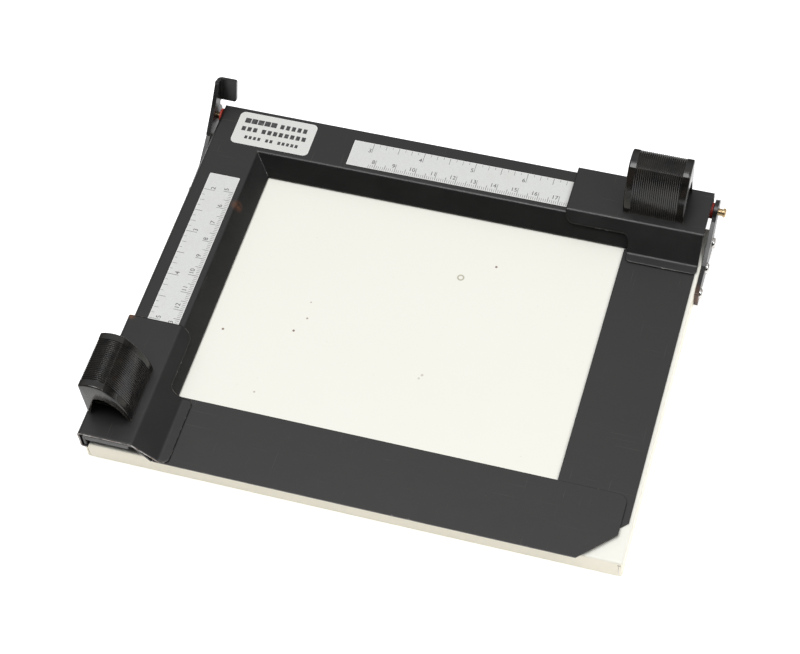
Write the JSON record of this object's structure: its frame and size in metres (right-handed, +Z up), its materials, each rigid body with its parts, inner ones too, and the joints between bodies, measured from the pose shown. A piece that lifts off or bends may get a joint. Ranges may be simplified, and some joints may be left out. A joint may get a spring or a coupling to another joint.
{
  "type": "enlarging easel",
  "caption": "Sheet-metal enlarging easel: hinged L-shaped rail frame with printed scales and sliding masking blades over a cream pan base.",
  "frame": {"origin": "middle of the overall footprint on the table, under the rubber feet", "axes": "+X to the right along the hinged rear rail, +Y to the back where the hinge is, +Z up"},
  "size_m": [0.2552, 0.2026, 0.0475],
  "materials": {
    "enamel": "gloss cream enamel on folded steel sheet",
    "black_rail": "satin black enamel",
    "black_carriage": "satin black enamel, worn bright at the sheared edges",
    "black_blade": "flat black paint on thin steel",
    "black_bracket": "satin black enamel",
    "grip_plastic": "glossy black moulded plastic",
    "scale_metal": "silver lacquered, fine black graduations",
    "plate_metal": "silver lacquered, rounded corners",
    "pin_brass": "dull turned brass",
    "rivet_chrome": "bright domed heads",
    "grip_rivet_steel": "plain steel",
    "washer_fibre": "red vulcanised fibre",
    "foot_rubber": "matt black",
    "felt": "black felt",
    "guide_metal": "cream enamel strip"
  },
  "bodies": {
    "base": {"base_pan": "enamel", "foot_front_left": "foot_rubber", "foot_front_right": "foot_rubber", "foot_rear_left": "foot_rubber", "foot_rear_right": "foot_rubber", "paper_guide_side": "guide_metal", "paper_guide_rear": "guide_metal", "left_bracket": "black_bracket", "right_bracket": "black_bracket", "left_bracket_rivets": "rivet_chrome", "right_bracket_rivets": "rivet_chrome"},
    "frame": {"rail_frame": "black_rail", "rear_scale": "scale_metal", "side_scale": "scale_metal", "info_plate": "plate_metal", "left_hinge_pin": "pin_brass", "right_hinge_pin": "pin_brass", "left_hinge_washer": "washer_fibre", "right_hinge_washer": "washer_fibre"},
    "cross_slide": {"cross_carriage": "black_carriage", "cross_blade": "black_blade", "cross_grip": "grip_plastic", "cross_grip_rivets": "grip_rivet_steel", "cross_felt_pad": "felt"},
    "front_slide": {"front_carriage": "black_carriage", "front_blade": "black_blade", "front_grip": "grip_plastic", "front_grip_rivets": "grip_rivet_steel", "front_felt_pad": "felt"}
  },
  "joints": [
    {"name": "frame_lift", "type": "hinge", "parent": "base", "child": "frame", "pos_m": [0, 0.08906, 0.0189], "axis": [-1, 0, 0], "range_deg": [0, 112]},
    {"name": "cross_blade_slide", "type": "slide", "parent": "frame", "child": "cross_slide", "axis": [-1, 0, 0], "range_m": [0, 0.098]},
    {"name": "front_blade_slide", "type": "slide", "parent": "frame", "child": "front_slide", "axis": [0, 1, 0], "range_m": [0, 0.075]}
  ]
}
